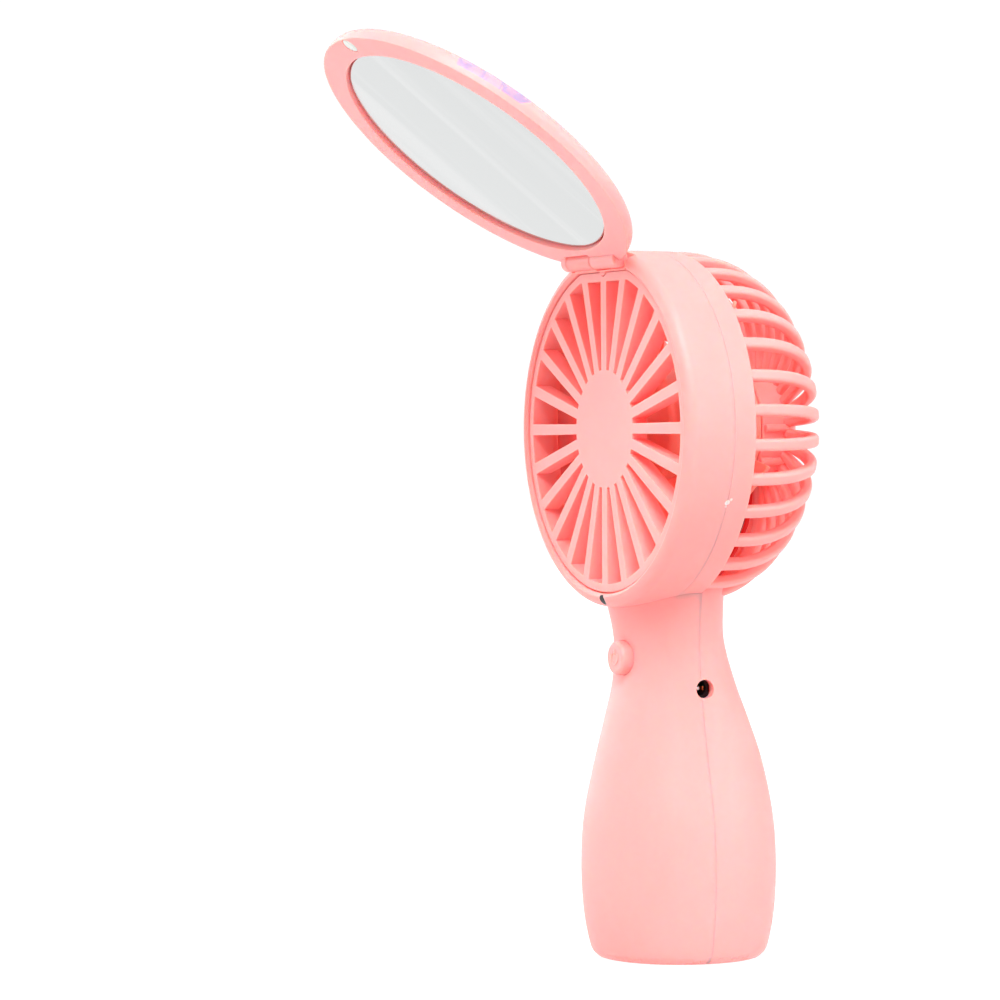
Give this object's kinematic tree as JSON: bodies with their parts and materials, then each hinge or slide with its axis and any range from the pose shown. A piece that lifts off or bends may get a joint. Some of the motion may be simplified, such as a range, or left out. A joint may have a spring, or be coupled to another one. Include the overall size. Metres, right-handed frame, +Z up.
{
  "type": "handheld electric fan",
  "caption": "Handheld electric fan: round caged head with a spoked front grille, a hinged mirror lid over it, and a bulged handle with a push button and a side jack, standing on its flat base.",
  "frame": {"origin": "centre of the flat base that the fan stands on", "axes": "+Z up along the handle, -Y the way the air leaves the grille, +X to the right of someone who faces the grille, on the jack's side"},
  "size_m": [0.085, 0.1127, 0.2183],
  "materials": {
    "shell": "satin moulded plastic, pale pink",
    "blade": "satin moulded plastic, pink",
    "mirror": "flat mirror glass",
    "foam": "closed cell foam tape",
    "steel": "bright plated steel",
    "magnet": "nickel plated",
    "brass": "plain",
    "black_plastic": "fine matt",
    "board": "green solder mask",
    "cell": "shrink sleeve over a metal can, with a density close to a lithium cell's",
    "red_wire": "insulated wire",
    "black_wire": "insulated wire"
  },
  "bodies": {
    "handle_body": {"front_housing": "shell", "rear_housing": "shell", "front_grille": "shell", "bezel_magnet": "magnet", "hinge_pin": "steel", "motor_can": "steel", "motor_end_cap": "black_plastic", "motor_terminal_left": "brass", "motor_terminal_right": "brass", "motor_lead_red": "red_wire", "motor_lead_black": "black_wire", "tact_switch_body": "black_plastic", "circuit_board": "board", "charge_chip": "black_plastic", "dc_jack_body": "black_plastic", "dc_jack_pin": "steel", "dc_jack_contact": "brass", "battery_cell": "cell", "battery_cap": "steel", "battery_foam_pad": "foam", "battery_lead_red": "red_wire", "battery_lead_black": "black_wire", "housing_screw_neck": "steel", "housing_screw_left": "steel", "housing_screw_right": "steel", "board_screw_lower": "steel", "board_screw_upper": "steel"},
    "lid_body": {"lid": "shell", "mirror": "mirror", "mirror_adhesive_pad": "foam", "lid_magnet": "magnet"},
    "rotor": {"impeller": "blade", "motor_shaft": "steel"},
    "button_body": {"power_button": "shell"},
    "plunger_body": {"tact_switch_plunger": "black_plastic"}
  },
  "joints": [
    {"name": "lid_hinge", "type": "hinge", "parent": "handle_body", "child": "lid_body", "pos_m": [0, -0.0216, 0.1665], "axis": [-1, 0, 0], "range_deg": [-127.3, 25]},
    {"name": "impeller_spin", "type": "hinge", "parent": "handle_body", "child": "rotor", "pos_m": [0, 0, 0.1265], "axis": [0, 1, 0], "continuous": true},
    {"name": "button_press", "type": "slide", "parent": "handle_body", "child": "button_body", "axis": [0, 1, 0], "range_m": [0, 0.0006], "stiffness_N_per_m": 800},
    {"name": "plunger_press", "type": "slide", "parent": "handle_body", "child": "plunger_body", "axis": [0, 1, 0], "range_m": [0, 0.0006]}
  ],
  "couplings": [
    {"joint": "plunger_press", "follows": "button_press", "ratio": 1}
  ]
}
